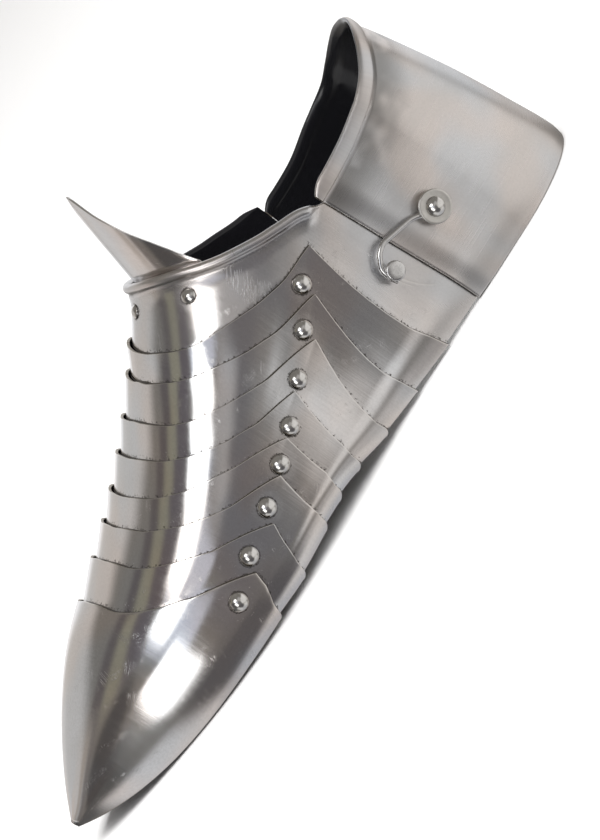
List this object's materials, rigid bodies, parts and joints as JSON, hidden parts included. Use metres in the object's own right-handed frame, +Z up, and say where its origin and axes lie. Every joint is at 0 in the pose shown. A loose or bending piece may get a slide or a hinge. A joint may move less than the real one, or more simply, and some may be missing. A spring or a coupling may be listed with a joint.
{
  "type": "sabaton",
  "caption": "Open-soled plate armour for the left foot: hinged overlapping bands between a pointed toe cap and a heel plate that closes with a side hook.",
  "frame": {"origin": "centre of the footprint box at the lowest edge of the plates", "axes": "+X to the toe, +Y to the outer side of the foot, which carries the hook, +Z up"},
  "size_m": [0.3302, 0.1114, 0.1479],
  "materials": {
    "plate": "polished outside, black paint inside",
    "rivet": "satin",
    "wire": "satin"
  },
  "bodies": {
    "instep": {"instep_plate": "plate", "tongue": "plate", "tongue_rivet_outer": "rivet", "tongue_rivet_middle": "rivet", "tongue_rivet_inner": "rivet", "hook_stud": "rivet", "hinge_leaf_instep": "rivet", "hinge_leaf_instep_rivet_1": "rivet", "hinge_leaf_instep_rivet_2": "rivet", "hinge_pin": "rivet"},
    "lame_1_body": {"lame_1": "plate", "lame_1_rivet_outer": "rivet", "lame_1_rivet_inner": "rivet"},
    "lame_2_body": {"lame_2": "plate", "lame_2_rivet_outer": "rivet", "lame_2_rivet_inner": "rivet"},
    "lame_3_body": {"lame_3": "plate", "lame_3_rivet_outer": "rivet", "lame_3_rivet_inner": "rivet"},
    "lame_4_body": {"lame_4": "plate", "lame_4_rivet_outer": "rivet", "lame_4_rivet_inner": "rivet"},
    "lame_5_body": {"lame_5": "plate", "lame_5_rivet_outer": "rivet", "lame_5_rivet_inner": "rivet"},
    "lame_6_body": {"lame_6": "plate", "lame_6_rivet_outer": "rivet", "lame_6_rivet_inner": "rivet"},
    "lame_7_body": {"lame_7": "plate", "lame_7_rivet_outer": "rivet", "lame_7_rivet_inner": "rivet"},
    "toe_cap_body": {"toe_cap": "plate", "toe_cap_rivet_outer": "rivet", "toe_cap_rivet_inner": "rivet"},
    "heel": {"heel_plate": "plate", "hinge_leaf_heel": "rivet", "hinge_leaf_heel_rivet_1": "rivet", "hinge_leaf_heel_rivet_2": "rivet", "hook_washer": "rivet", "hook_pivot": "rivet"},
    "hook_body": {"hook": "wire"}
  },
  "joints": [
    {"name": "lame_1_hinge", "type": "hinge", "parent": "instep", "child": "lame_1_body", "pos_m": [-0.0467, 0, 0.0623], "axis": [0, -1, 0], "range_deg": [-0.5, 5.5]},
    {"name": "lame_2_hinge", "type": "hinge", "parent": "lame_1_body", "child": "lame_2_body", "pos_m": [-0.0325, 0, 0.0527], "axis": [0, -1, 0], "range_deg": [-1, 5.5]},
    {"name": "lame_3_hinge", "type": "hinge", "parent": "lame_2_body", "child": "lame_3_body", "pos_m": [-0.0156, 0, 0.0447], "axis": [0, -1, 0], "range_deg": [-1, 5.5]},
    {"name": "lame_4_hinge", "type": "hinge", "parent": "lame_3_body", "child": "lame_4_body", "pos_m": [0.0012, 0, 0.0382], "axis": [0, -1, 0], "range_deg": [-1, 5.5]},
    {"name": "lame_5_hinge", "type": "hinge", "parent": "lame_4_body", "child": "lame_5_body", "pos_m": [0.0154, 0, 0.0341], "axis": [0, -1, 0], "range_deg": [-1, 5.5]},
    {"name": "lame_6_hinge", "type": "hinge", "parent": "lame_5_body", "child": "lame_6_body", "pos_m": [0.0318, 0, 0.0299], "axis": [0, -1, 0], "range_deg": [-1, 5.5]},
    {"name": "lame_7_hinge", "type": "hinge", "parent": "lame_6_body", "child": "lame_7_body", "pos_m": [0.0505, 0, 0.0258], "axis": [0, -1, 0], "range_deg": [-1, 5.5]},
    {"name": "toe_cap_hinge", "type": "hinge", "parent": "lame_7_body", "child": "toe_cap_body", "pos_m": [0.0666, 0, 0.0198], "axis": [0, -1, 0], "range_deg": [-1, 5.5]},
    {"name": "heel_hinge", "type": "hinge", "parent": "instep", "child": "heel", "pos_m": [-0.0795, -0.0444, 0.036], "axis": [0, 0, 1], "range_deg": [0, 90]},
    {"name": "hook_hinge", "type": "hinge", "parent": "heel", "child": "hook_body", "pos_m": [-0.1, 0.04495, 0.0367], "axis": [0, -1, 0], "range_deg": [0, 90]}
  ]
}
